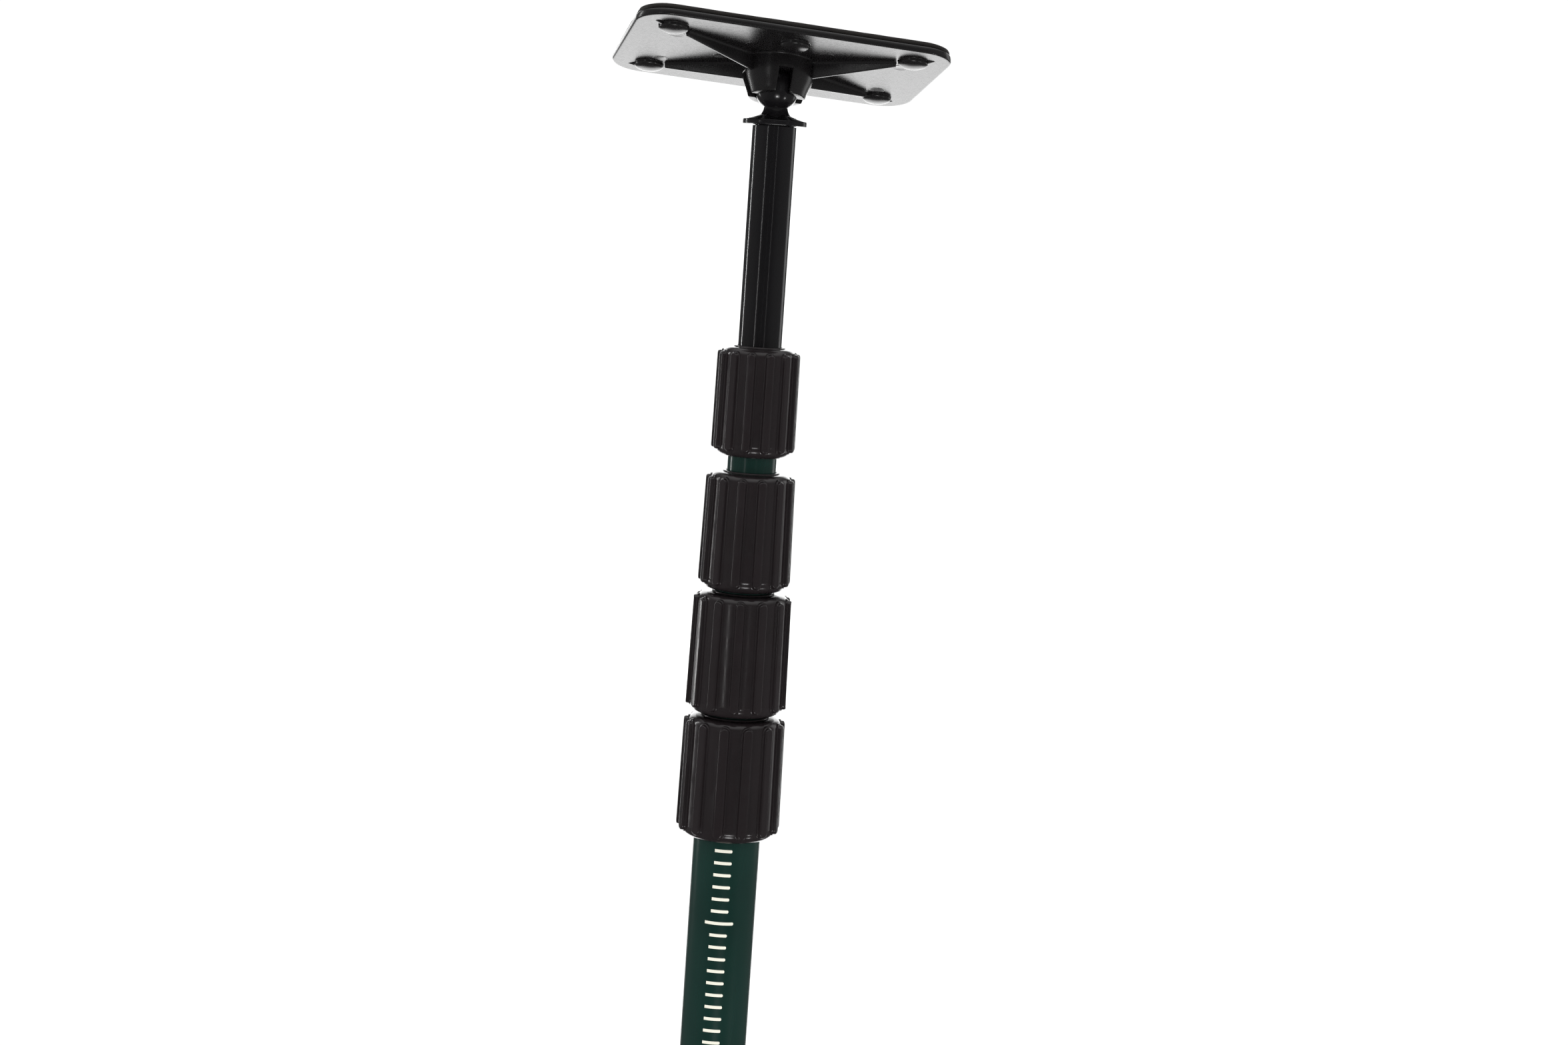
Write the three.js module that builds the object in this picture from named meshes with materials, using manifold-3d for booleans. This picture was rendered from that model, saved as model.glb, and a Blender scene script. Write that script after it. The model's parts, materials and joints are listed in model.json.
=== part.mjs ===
// Telescopic floor-to-ceiling pole with a tilting ceiling plate, twist locks and a sprung plunger.
// Millimetres, +Z up along the pole, origin at the centre of the foot's underside.
// Stages are numbered from the floor: tube 1 is the thick one, tube 4 carries the sprung plunger.
import * as THREE from 'three';
import { mergeVertices } from 'three/addons/utils/BufferGeometryUtils.js';
import Module from 'manifold-3d';

// Driving dimensions
const TUBE_RADIUS = [13.5, 12.25, 11.0, 9.75]; // outer, stages 1 to 4
const TUBE_WALL = 0.8;
const TUBE_BOTTOM = [8.6, 42, 66, 98]; // leaves each bush clear of the next one when a stage is pushed in
const PLUNGER_RADIUS = 8.65;
const GAP = 0.3; // between neighbouring parts

const GRIP_BOTTOM = [840, 889.9, 939.2, 991.9];
const GRIP_HEIGHT = [49, 48.5, 46.8, 43];
const GRIP_RADIUS_LOW = [20.6, 20.1, 18.2, 16.45]; // over the ribs, at the lower end
const GRIP_RADIUS_HIGH = [20.15, 19.5, 17.55, 16.2]; // over the ribs, at the upper end
const GRIP_TURN = [-10.7, -1.9, -11.1, -10.5]; // where a rib stands, degrees from -Y
const RIB_COUNT = 13;
const RIB_HEIGHT = 1.6;
const RIB_WIDTH = [3.8, 3.5, 3.4, 3.4];
const RIB_SINK = 0.9; // how deep a rib's foot is set in the body
const RIB_END_LOW = 2.4; // from the grip's lower end
const RIB_END_HIGH = 3.0; // from the grip's upper end
const RIB_END_SLOPE = 1.4;
const SHOULDER = 4.2;
const SHOULDER_STEPS = 2;
const COLLAR_HEIGHT = 0.8;
const COLLAR_WIDTH = 1.3;
const LIP_HEIGHT = 2.5;
const SLEEVE_WALL = 1.7;
const FINGER_WALL = 1.25;
const FINGER_SLIT = 1.2;
const TUBE_TOP_DROP = 16; // from the grip's top to its tube's end
const CONE_DROP = 14;
const FINGER_DROP = 4;

const PLUNGER_SHOWN = 85; // between the top grip and the flange
const PLUNGER_LENGTH = 215;
const FLANGE_WIDTH = 24.4;
const FLANGE_DEPTH = 18.4;
const FLANGE_EDGE = 2;
const BALL_ABOVE_FLANGE = 14; // ball centre above the flange's underside
const BALL_RADIUS = 8.3;
const BALL_STEPS = 10;
const BALL_TOP_ANGLE = 84; // degrees above the horizontal, where the ball's small flat starts
const BALL_FLAT_DROP = 0.04;
const NECK_RADIUS = 4.45;
const SKIRT_RADIUS = 5.65;
const SKIRT_TOP = 4; // above the flange's underside
const SKIRT_SLOPE = 1; // height over which the flange rises to the skirt
const SKIRT_CHAMFER = [0.6, 0.8]; // below and above the skirt's top
const SPIGOT_LENGTH = 16;

const PLATE_LENGTH = 121.5;
const PLATE_WIDTH = 76;
const PLATE_THICKNESS = 2.6;
const PLATE_CORNER = 13;
const PLATE_ABOVE_BALL = 10.4; // underside above the ball's centre
const PAD_THICKNESS = 1.8;
const PAD_INSET = 0.8;
const BOSS_PLACE = [46.3, 25.1];
const MIDDLE_BOSS_Y = 25.1;
const BOSS_RADIUS = 5.8;
const BOSS_HEIGHT = 2.4;
const BOSS_CHAMFER = 1.1;
const BOSS_DRAFT = 0.2;
const WEB_THICKNESS = 1.8;
const WEB_DEPTH_HUB = 8.6;
const WEB_DEPTH_BOSS = 3;
const WEB_SINK = 1; // how far a web's root runs into what it stands on
const WEB_TO_BOSS = 1; // gap left between a web's tip and its boss
const GUSSET_LENGTH = 4.2;
const GUSSET_DEPTH = 1.8;
const GUSSET_THICKNESS = 1.4;
const HUB_RADIUS_PLATE = 13.5;
const HUB_RADIUS_RIM = 11.1;
const HUB_RIM_BELOW_BALL = 4;
const HUB_RIM_CHAMFER = [0.6, 0.8]; // across and up
const HUB_SLOT = 5;
const HUB_SLOT_TOP = 5; // above the ball's centre
const HEAD_SWIVEL = 12.8; // degrees about the pole
const HEAD_TILT = -13.1; // degrees about the plate's long axis, near edge up
const HEAD_ROLL = 3.6; // degrees about the plate's short axis

const SPRING_LENGTH = 140;
const SPRING_TURNS = 10;
const SPRING_RADIUS = 7.1;
const WIRE_RADIUS = 0.8;
const WIRE_SIDES = 5;
const STEPS_PER_TURN = 10;
const SEAT_HEIGHT = 8;
const SEAT_HOLE_RADIUS = 3;

const BUSH_HEAD = 8;
const BUSH_SPIGOT = 12;
const BUSH_WALL = 1.6;
const FOOT_HEIGHT = 44;
const FOOT_FLOOR = 5;
const FOOT_WALL = 2.2;
const FOOT_TREAD_RADIUS = 17.5;
const FOOT_CHAMFER = 1.5;
const PLUG_FLANGE = 3;
const PLUG_LENGTH = 22;

const ROUND = 30; // facets of a tube
const GRIP_FACETS = RIB_COUNT * 2;
const SMALL_ROUND = 20;
const SOCKET_STEPS = 12;
const CORNER_STEPS = 5;

const DEGREE = Math.PI / 180;
const UNDER_CUT = 1; // how far a cutter runs past the face it opens

const painted = { color: 0x12302a, roughness: 0.25, metalness: 0.2 };
const satinPlastic = { color: 0x262223, roughness: 0.45, metalness: 0 };
const glossPlastic = { color: 0x101012, roughness: 0.2, metalness: 0 };
const innerPlastic = { color: 0x6f7173, roughness: 0.5, metalness: 0 };
const springSteel = { color: 0x9a9da0, roughness: 0.35, metalness: 1 };
const softRubber = { color: 0x1d1b1b, roughness: 0.8, metalness: 0 };

const wasm = await Module();
wasm.setup();

const boreRadius = (stage) => TUBE_RADIUS[stage] - TUBE_WALL;
const innerRadius = (stage) => (stage < 3 ? TUBE_RADIUS[stage + 1] : PLUNGER_RADIUS);
const gripTop = (stage) => GRIP_BOTTOM[stage] + GRIP_HEIGHT[stage];
const tubeTop = (stage) => gripTop(stage) - TUBE_TOP_DROP;
const flangeHeight = gripTop(3) + PLUNGER_SHOWN;
const ballHeight = flangeHeight + BALL_ABOVE_FLANGE;
const plungerTop = flangeHeight - GAP;
const plungerBottom = plungerTop - PLUNGER_LENGTH;

// A closed body with its shared corners merged, ready to be joined or cut.
function toSolid(geometry) {
  const bare = geometry.clone();
  bare.deleteAttribute('normal');
  bare.deleteAttribute('uv');
  const merged = mergeVertices(bare, 1e-4);
  const corners = merged.index.array;
  const kept = [];
  for (let i = 0; i < corners.length; i += 3) {
    const [a, b, c] = [corners[i], corners[i + 1], corners[i + 2]];
    if (a !== b && b !== c && c !== a) kept.push(a, b, c);
  }
  const vertProperties = new Float32Array(merged.attributes.position.array);
  const triVerts = new Uint32Array(kept);
  return new wasm.Manifold(new wasm.Mesh({ numProp: 3, vertProperties, triVerts }));
}

function toGeometry(solid) {
  const mesh = solid.getMesh();
  const geometry = new THREE.BufferGeometry();
  geometry.setAttribute('position', new THREE.BufferAttribute(new Float32Array(mesh.vertProperties), 3));
  geometry.setIndex(new THREE.BufferAttribute(new Uint32Array(mesh.triVerts), 1));
  geometry.computeVertexNormals();
  return geometry;
}

// Turns a profile of [radius, height] points about the Z axis.
function turned(points, facets = ROUND) {
  const profile = points.map(([radius, height]) => new THREE.Vector2(radius, height));
  return new THREE.LatheGeometry(profile, facets).rotateX(Math.PI / 2);
}

// A round wall between two radii.
function ring(inner, outer, low, high, facets = ROUND) {
  return turned([[inner, low], [outer, low], [outer, high], [inner, high], [inner, low]], facets);
}

function arcPoints(centreR, centreZ, radius, from, to, steps) {
  const points = [];
  for (let i = 0; i <= steps; i += 1) {
    const angle = (from + ((to - from) * i) / steps) * DEGREE;
    points.push([centreR + radius * Math.cos(angle), centreZ + radius * Math.sin(angle)]);
  }
  return points;
}

function box(sizeX, sizeY, sizeZ, x = 0, y = 0, z = 0) {
  return new THREE.BoxGeometry(sizeX, sizeY, sizeZ).translate(x, y, z);
}

// A flat web standing in the XZ plane, from its outline in [x, z].
function web(outline, thickness) {
  const shape = new THREE.Shape(outline.map(([x, z]) => new THREE.Vector2(x, z)));
  const flat = new THREE.ExtrudeGeometry(shape, { depth: thickness, bevelEnabled: false });
  return flat.rotateX(Math.PI / 2).translate(0, thickness / 2, 0);
}

function roundedSheet(length, width, corner, low, high) {
  const x = length / 2 - corner;
  const y = width / 2 - corner;
  const shape = new THREE.Shape();
  shape.absarc(x, y, corner, 0, Math.PI / 2);
  shape.absarc(-x, y, corner, Math.PI / 2, Math.PI);
  shape.absarc(-x, -y, corner, Math.PI, 1.5 * Math.PI);
  shape.absarc(x, -y, corner, 1.5 * Math.PI, 2 * Math.PI);
  const options = { depth: high - low, bevelEnabled: false, curveSegments: CORNER_STEPS };
  return new THREE.ExtrudeGeometry(shape, options).translate(0, 0, low);
}

function named(name, geometry, finish) {
  const mesh = new THREE.Mesh(geometry, new THREE.MeshStandardMaterial(finish));
  mesh.name = name;
  return mesh;
}

// Tubes and what closes their ends

function tube(stage) {
  return ring(boreRadius(stage), TUBE_RADIUS[stage], TUBE_BOTTOM[stage], tubeTop(stage));
}

// Plugs the lower end of a sliding tube and runs in the bore of the tube around it.
function guideBush(stage) {
  const runner = boreRadius(stage - 1) - GAP;
  const spigot = boreRadius(stage) - GAP;
  const bore = spigot - BUSH_WALL;
  const shelf = TUBE_BOTTOM[stage] - GAP;
  return turned([
    [bore, shelf - BUSH_HEAD],
    [runner, shelf - BUSH_HEAD],
    [runner, shelf],
    [spigot, shelf],
    [spigot, shelf + BUSH_SPIGOT],
    [bore, shelf + BUSH_SPIGOT],
    [bore, shelf - BUSH_HEAD],
  ]);
}

function endPlug() {
  const shelf = TUBE_BOTTOM[0] - GAP;
  const spigot = boreRadius(0) - GAP;
  return turned([
    [0, shelf - PLUG_FLANGE],
    [TUBE_RADIUS[0], shelf - PLUG_FLANGE],
    [TUBE_RADIUS[0], shelf],
    [spigot, shelf],
    [spigot, shelf + PLUG_LENGTH - BUSH_WALL],
    [spigot - BUSH_WALL, shelf + PLUG_LENGTH],
    [0, shelf + PLUG_LENGTH],
  ]);
}

function rubberFoot() {
  const bore = TUBE_RADIUS[0] + GAP;
  const wall = bore + FOOT_WALL;
  return turned([
    [0, 0],
    [FOOT_TREAD_RADIUS - FOOT_CHAMFER, 0],
    [FOOT_TREAD_RADIUS, FOOT_CHAMFER],
    [FOOT_TREAD_RADIUS, FOOT_FLOOR],
    [wall, FOOT_FLOOR * 2],
    [wall, FOOT_HEIGHT - FOOT_CHAMFER],
    [wall - FOOT_CHAMFER, FOOT_HEIGHT],
    [bore, FOOT_HEIGHT],
    [bore, FOOT_FLOOR],
    [0, FOOT_FLOOR],
  ]);
}

// Twist locks

// Split sleeve fixed over the end of a tube; its fingers close on the next tube.
function lockCollet(stage) {
  const low = GRIP_BOTTOM[stage] + LIP_HEIGHT + GAP;
  const sleeveBore = TUBE_RADIUS[stage] + GAP;
  const sleeve = sleeveBore + SLEEVE_WALL;
  const fingerBore = innerRadius(stage) + GAP;
  const coneStart = gripTop(stage) - CONE_DROP;
  const fingerTop = gripTop(stage) - FINGER_DROP;
  const step = tubeTop(stage) + GAP;
  const body = turned([
    [sleeveBore, low],
    [sleeve, low],
    [sleeve, coneStart],
    [fingerBore + FINGER_WALL, fingerTop],
    [fingerBore, fingerTop],
    [fingerBore, step],
    [sleeveBore, step],
    [sleeveBore, low],
  ]);
  const slitHeight = fingerTop - coneStart + UNDER_CUT;
  const slitMiddle = coneStart + slitHeight / 2;
  let collet = toSolid(body);
  for (const turn of [0, 90]) {
    const slit = box(4 * sleeve, FINGER_SLIT, slitHeight, 0, 0, slitMiddle).rotateZ(turn * DEGREE);
    collet = collet.subtract(toSolid(slit));
  }
  return toGeometry(collet);
}

function gripBody(stage) {
  const low = GRIP_BOTTOM[stage];
  const top = gripTop(stage);
  const bodyLow = GRIP_RADIUS_LOW[stage] - RIB_HEIGHT;
  const bodyHigh = GRIP_RADIUS_HIGH[stage] - RIB_HEIGHT;
  const brow = top - COLLAR_HEIGHT;
  const lipBore = TUBE_RADIUS[stage] + GAP;
  const bore = lipBore + SLEEVE_WALL + GAP;
  const mouth = innerRadius(stage) + GAP;
  const coneTop = mouth + FINGER_WALL + GAP;
  const fingerTop = top - FINGER_DROP + GAP;
  return turned([
    [lipBore, low],
    ...arcPoints(bodyLow - SHOULDER, low + SHOULDER, SHOULDER, -90, 0, SHOULDER_STEPS),
    ...arcPoints(bodyHigh - SHOULDER, brow - SHOULDER, SHOULDER, 0, 90, SHOULDER_STEPS),
    [mouth + COLLAR_WIDTH, brow],
    [mouth + COLLAR_WIDTH, top],
    [mouth, top],
    [mouth, fingerTop],
    [coneTop, fingerTop],
    [bore, top - CONE_DROP],
    [bore, low + LIP_HEIGHT],
    [lipBore, low + LIP_HEIGHT],
    [lipBore, low],
  ], GRIP_FACETS);
}

function gripRib(stage) {
  const low = GRIP_BOTTOM[stage] + RIB_END_LOW;
  const high = gripTop(stage) - RIB_END_HIGH;
  const radiusLow = GRIP_RADIUS_LOW[stage];
  const radiusHigh = GRIP_RADIUS_HIGH[stage];
  const sink = RIB_HEIGHT + RIB_SINK;
  return web([
    [radiusLow - sink, low],
    [radiusLow - RIB_END_SLOPE, low],
    [radiusLow, low + RIB_END_SLOPE],
    [radiusHigh, high - RIB_END_SLOPE],
    [radiusHigh - RIB_END_SLOPE, high],
    [radiusHigh - sink, high],
  ], RIB_WIDTH[stage]);
}

function lockGrip(stage) {
  let grip = toSolid(gripBody(stage));
  for (let i = 0; i < RIB_COUNT; i += 1) {
    const turn = GRIP_TURN[stage] - 90 + (i * 360) / RIB_COUNT;
    grip = grip.add(toSolid(gripRib(stage).rotateZ(turn * DEGREE)));
  }
  return toGeometry(grip);
}

// Sprung plunger

function plungerTube() {
  return ring(PLUNGER_RADIUS - TUBE_WALL, PLUNGER_RADIUS, plungerBottom, plungerTop);
}

// Closes the plunger's lower end, runs in tube 4 and takes the spring's push.
function plungerGuide() {
  const runner = boreRadius(3) - GAP;
  const spigot = PLUNGER_RADIUS - TUBE_WALL - GAP;
  const shelf = plungerBottom - GAP;
  return turned([
    [SEAT_HOLE_RADIUS, shelf - BUSH_HEAD],
    [runner, shelf - BUSH_HEAD],
    [runner, shelf],
    [spigot, shelf],
    [spigot, shelf + BUSH_SPIGOT],
    [SEAT_HOLE_RADIUS, shelf + BUSH_SPIGOT],
    [SEAT_HOLE_RADIUS, shelf - BUSH_HEAD],
  ], SMALL_ROUND);
}

const springTop = plungerBottom - GAP - BUSH_HEAD - GAP - WIRE_RADIUS;
const springBottom = springTop - SPRING_LENGTH;

class Helix extends THREE.Curve {
  getPoint(share, target = new THREE.Vector3()) {
    const angle = share * SPRING_TURNS * 2 * Math.PI;
    const height = springBottom + share * SPRING_LENGTH;
    return target.set(SPRING_RADIUS * Math.cos(angle), SPRING_RADIUS * Math.sin(angle), height);
  }
}

function pressureSpring() {
  const section = new THREE.Shape();
  for (let i = 0; i < WIRE_SIDES; i += 1) {
    const angle = (i * 2 * Math.PI) / WIRE_SIDES;
    const point = [WIRE_RADIUS * Math.cos(angle), WIRE_RADIUS * Math.sin(angle)];
    if (i === 0) section.moveTo(...point);
    else section.lineTo(...point);
  }
  const steps = SPRING_TURNS * STEPS_PER_TURN;
  return new THREE.ExtrudeGeometry(section, { steps, extrudePath: new Helix(), bevelEnabled: false });
}

function springSeat() {
  const top = springBottom - WIRE_RADIUS - GAP;
  return ring(SEAT_HOLE_RADIUS, boreRadius(3) - GAP, top - SEAT_HEIGHT, top, SMALL_ROUND);
}

// Ball, neck, flange and the spigot that is pressed into the plunger; zero is the ball's centre.
function ballStud() {
  const spigot = PLUNGER_RADIUS - TUBE_WALL - GAP;
  const flangeLow = -BALL_ABOVE_FLANGE;
  const rim = FLANGE_WIDTH / 2;
  const skirtTop = flangeLow + SKIRT_TOP;
  const [skirtEdge, neckStart] = SKIRT_CHAMFER;
  const neckAngle = Math.asin(NECK_RADIUS / BALL_RADIUS) / DEGREE;
  const body = turned([
    [0, flangeLow - SPIGOT_LENGTH],
    [spigot, flangeLow - SPIGOT_LENGTH],
    [spigot, flangeLow],
    [rim, flangeLow],
    [rim, flangeLow + FLANGE_EDGE],
    [SKIRT_RADIUS, flangeLow + FLANGE_EDGE + SKIRT_SLOPE],
    [SKIRT_RADIUS, skirtTop - skirtEdge],
    [NECK_RADIUS, skirtTop + neckStart],
    ...arcPoints(0, 0, BALL_RADIUS, neckAngle - 90, BALL_TOP_ANGLE, BALL_STEPS),
    [0, BALL_RADIUS - BALL_FLAT_DROP],
  ], SMALL_ROUND);
  const sides = box(2 * FLANGE_WIDTH, FLANGE_DEPTH, 6 * SPIGOT_LENGTH);
  return toGeometry(toSolid(body).intersect(toSolid(sides)));
}

// Head, built about the ball's centre with the plate's normal along +Z

function plateBoss(x, y) {
  const top = PLATE_ABOVE_BALL + UNDER_CUT;
  const low = PLATE_ABOVE_BALL - BOSS_HEIGHT;
  const boss = turned([
    [0, low],
    [BOSS_RADIUS - BOSS_CHAMFER, low],
    [BOSS_RADIUS - BOSS_DRAFT, low + BOSS_CHAMFER],
    [BOSS_RADIUS, top],
    [0, top],
  ], SMALL_ROUND);
  return boss.translate(x, y, 0);
}

const bossReach = Math.hypot(...BOSS_PLACE);

function diagonalWeb() {
  const root = HUB_RADIUS_RIM - WEB_SINK;
  const tip = bossReach - BOSS_RADIUS - WEB_TO_BOSS;
  const top = PLATE_ABOVE_BALL + UNDER_CUT;
  return web([
    [root, PLATE_ABOVE_BALL - WEB_DEPTH_HUB],
    [tip, PLATE_ABOVE_BALL - WEB_DEPTH_BOSS],
    [tip, top],
    [root, top],
  ], WEB_THICKNESS);
}

function cornerGusset() {
  const root = bossReach + BOSS_RADIUS - WEB_SINK;
  const top = PLATE_ABOVE_BALL + UNDER_CUT;
  const tip = root + WEB_SINK + GUSSET_LENGTH;
  return web([
    [root, PLATE_ABOVE_BALL - GUSSET_DEPTH],
    [tip, PLATE_ABOVE_BALL],
    [tip, top],
    [root, top],
  ], GUSSET_THICKNESS);
}

function ballSocket() {
  const top = PLATE_ABOVE_BALL + UNDER_CUT;
  const [across, up] = HUB_RIM_CHAMFER;
  const outside = turned([
    [0, -HUB_RIM_BELOW_BALL],
    [HUB_RADIUS_RIM - across, -HUB_RIM_BELOW_BALL],
    [HUB_RADIUS_RIM, -HUB_RIM_BELOW_BALL + up],
    [HUB_RADIUS_PLATE, top],
    [0, top],
  ], ROUND);
  const hollow = turned(arcPoints(0, 0, BALL_RADIUS + GAP, -90, 90, SOCKET_STEPS), SMALL_ROUND);
  let socket = toSolid(outside).subtract(toSolid(hollow));
  const slotLow = -HUB_RIM_BELOW_BALL - UNDER_CUT;
  const slotHeight = HUB_SLOT_TOP - slotLow;
  for (const turn of [0, 90]) {
    const slot = box(4 * HUB_RADIUS_PLATE, HUB_SLOT, slotHeight, 0, 0, slotLow + slotHeight / 2);
    socket = socket.subtract(toSolid(slot.rotateZ(turn * DEGREE)));
  }
  return socket;
}

function headPlate() {
  const top = PLATE_ABOVE_BALL + PLATE_THICKNESS;
  const sheet = roundedSheet(PLATE_LENGTH, PLATE_WIDTH, PLATE_CORNER, PLATE_ABOVE_BALL, top);
  let plate = toSolid(sheet).add(ballSocket());
  const [x, y] = BOSS_PLACE;
  const corners = [[x, y], [-x, y], [-x, -y], [x, -y]];
  for (const [cornerX, cornerY] of corners) {
    const turn = Math.atan2(cornerY, cornerX);
    plate = plate.add(toSolid(plateBoss(cornerX, cornerY)));
    plate = plate.add(toSolid(diagonalWeb().rotateZ(turn)));
    plate = plate.add(toSolid(cornerGusset().rotateZ(turn)));
  }
  for (const side of [-1, 1]) {
    plate = plate.add(toSolid(plateBoss(0, side * MIDDLE_BOSS_Y)));
  }
  return toGeometry(plate);
}

function ceilingPad() {
  const low = PLATE_ABOVE_BALL + PLATE_THICKNESS + GAP;
  const length = PLATE_LENGTH - 2 * PAD_INSET;
  const width = PLATE_WIDTH - 2 * PAD_INSET;
  return roundedSheet(length, width, PLATE_CORNER - PAD_INSET, low, low + PAD_THICKNESS);
}

// Assembly

const pole = new THREE.Group();
pole.add(named('rubber_foot', rubberFoot(), softRubber));
pole.add(named('end_plug', endPlug(), innerPlastic));
for (let stage = 0; stage < TUBE_RADIUS.length; stage += 1) {
  pole.add(named(`tube_${stage + 1}`, tube(stage), painted));
  pole.add(named(`lock_collet_${stage + 1}`, lockCollet(stage), innerPlastic));
  pole.add(named(`lock_grip_${stage + 1}`, lockGrip(stage), satinPlastic));
  if (stage > 0) pole.add(named(`guide_bush_${stage + 1}`, guideBush(stage), innerPlastic));
}
pole.add(named('spring_seat', springSeat(), innerPlastic));
pole.add(named('pressure_spring', pressureSpring(), springSteel));
pole.add(named('plunger_guide', plungerGuide(), innerPlastic));
pole.add(named('plunger_tube', plungerTube(), glossPlastic));

const neck = new THREE.Group();
neck.position.z = ballHeight;
neck.add(named('ball_stud', ballStud(), glossPlastic));
const head = new THREE.Group();
head.rotation.set(HEAD_TILT * DEGREE, HEAD_ROLL * DEGREE, HEAD_SWIVEL * DEGREE, 'ZXY');
head.add(named('head_plate', headPlate(), glossPlastic));
head.add(named('ceiling_pad', ceilingPad(), softRubber));
neck.add(head);
pole.add(neck);

export default pole;
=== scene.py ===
import json
import math
import bpy
import bmesh
from mathutils import Matrix, Vector


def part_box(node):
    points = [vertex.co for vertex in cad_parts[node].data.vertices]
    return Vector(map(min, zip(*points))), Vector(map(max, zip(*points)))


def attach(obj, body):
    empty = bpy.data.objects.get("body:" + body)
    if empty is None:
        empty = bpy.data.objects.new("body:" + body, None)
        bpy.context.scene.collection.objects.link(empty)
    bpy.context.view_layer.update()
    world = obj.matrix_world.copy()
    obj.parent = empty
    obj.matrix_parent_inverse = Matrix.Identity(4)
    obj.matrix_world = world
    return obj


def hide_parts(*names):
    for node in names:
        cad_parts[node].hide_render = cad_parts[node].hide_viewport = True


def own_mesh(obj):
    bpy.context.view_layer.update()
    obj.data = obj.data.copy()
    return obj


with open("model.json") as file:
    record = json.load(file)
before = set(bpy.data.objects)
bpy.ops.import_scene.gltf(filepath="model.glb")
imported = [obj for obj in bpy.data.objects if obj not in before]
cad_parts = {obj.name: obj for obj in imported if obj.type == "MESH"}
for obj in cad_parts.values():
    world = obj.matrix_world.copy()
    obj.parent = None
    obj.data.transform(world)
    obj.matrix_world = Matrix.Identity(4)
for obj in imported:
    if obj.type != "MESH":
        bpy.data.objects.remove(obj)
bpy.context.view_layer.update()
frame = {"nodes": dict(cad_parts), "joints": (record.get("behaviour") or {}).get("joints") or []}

mm = 0.001
weldGap = 0.004 * mm
hair = 0.01 * mm  # nearer than this counts as the same place


# small tools for modelling

def clearSelection():
    if bpy.context.object and bpy.context.object.mode != "OBJECT":
        bpy.ops.object.mode_set(mode="OBJECT")
    bpy.ops.object.select_all(action="DESELECT")


def pickOnly(*objects):
    clearSelection()
    for each in objects:
        each.select_set(True)
    bpy.context.view_layer.objects.active = objects[0]


def enterEdit():
    bpy.ops.object.mode_set(mode="EDIT")


def leaveEdit(name):
    bpy.ops.object.mode_set(mode="OBJECT")
    piece = bpy.context.object
    piece.name = piece.data.name = name
    return piece


def pickParts(kind, test):
    # selects vertices, edges or faces of the edited mesh by place or normal
    bpy.ops.mesh.select_mode(type=kind)
    bpy.ops.mesh.select_all(action="DESELECT")
    work = bmesh.from_edit_mesh(bpy.context.object.data)
    parts = {"VERT": work.verts, "EDGE": work.edges, "FACE": work.faces}[kind]
    for part in parts:
        part.select_set(bool(test(part)))
    work.select_flush_mode()
    bmesh.update_edit_mesh(bpy.context.object.data)


def edgeCentre(edge):
    return (edge.verts[0].co + edge.verts[1].co) / 2


def arc(centreX, centreZ, radius, start, end, steps):
    points = []
    for i in range(steps + 1):
        angle = math.radians(start + (end - start) * i / steps)
        points.append((centreX + radius * math.cos(angle), centreZ + radius * math.sin(angle)))
    return points


def pullOut(x, y, z):
    # extrudes what is selected, by mm
    bpy.ops.mesh.extrude_region_move(TRANSFORM_OT_translate={"value": (x * mm, y * mm, z * mm)})


def weldAll():
    bpy.ops.mesh.select_all(action="SELECT")
    bpy.ops.mesh.remove_doubles(threshold=weldGap)


def faceOutward():
    bpy.ops.mesh.select_all(action="SELECT")
    bpy.ops.mesh.normals_make_consistent(inside=False)


def drawOutline(points):
    # a chain of edges in the XZ plane, drawn by extruding one vertex; stays in edit mode
    clearSelection()
    first = points[0]
    bpy.ops.mesh.primitive_plane_add(size=mm, location=(0, 0, 0))
    enterEdit()
    bpy.ops.mesh.select_mode(type="VERT")
    bpy.ops.mesh.select_all(action="SELECT")
    bpy.ops.mesh.merge(type="CENTER")
    bpy.ops.transform.translate(value=(first[0] * mm, 0, first[1] * mm))
    for before, after in zip(points, points[1:]):
        pullOut(after[0] - before[0], 0, after[1] - before[1])


def fillOutline(points):
    # a flat face in the XZ plane from a closed outline; stays in edit mode
    drawOutline(points)
    weldAll()
    bpy.ops.mesh.edge_face_add()


def spinOutline(name, points, steps):
    # points are (radius, height) in mm, and a closed outline repeats its first point
    drawOutline(points)
    bpy.ops.mesh.select_all(action="SELECT")
    bpy.ops.mesh.spin(steps=steps, angle=math.radians(360), center=(0, 0, 0), axis=(0, 0, 1))
    weldAll()
    faceOutward()
    return leaveEdit(name)


def drawRings(rings, centre, axis, vertices, rotation=(0, 0, 0)):
    # rings are (distance along the axis, radius) in mm; centre is in metres; stays in edit mode
    first = rings[0]
    place = [centre[i] + axis[i] * first[0] * mm for i in range(3)]
    clearSelection()
    bpy.ops.mesh.primitive_circle_add(vertices=vertices, radius=first[1] * mm, fill_type="NGON",
                                      location=place, rotation=rotation)
    bpy.ops.object.transform_apply(location=True, rotation=True, scale=True)
    enterEdit()
    for before, after in zip(rings, rings[1:]):
        pullOut(*(direction * (after[0] - before[0]) for direction in axis))
        scale = after[1] / before[1]
        growth = [1 if direction else scale for direction in axis]
        bpy.ops.transform.resize(value=growth, center_override=centre)


def smooth(piece, angle=32):
    pickOnly(piece)
    bpy.ops.object.shade_smooth_by_angle(angle=math.radians(angle))
    return piece


def joinAll(name, parts):
    pickOnly(*parts)
    bpy.ops.object.join()
    whole = bpy.context.object
    whole.name = whole.data.name = name
    return whole


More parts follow.
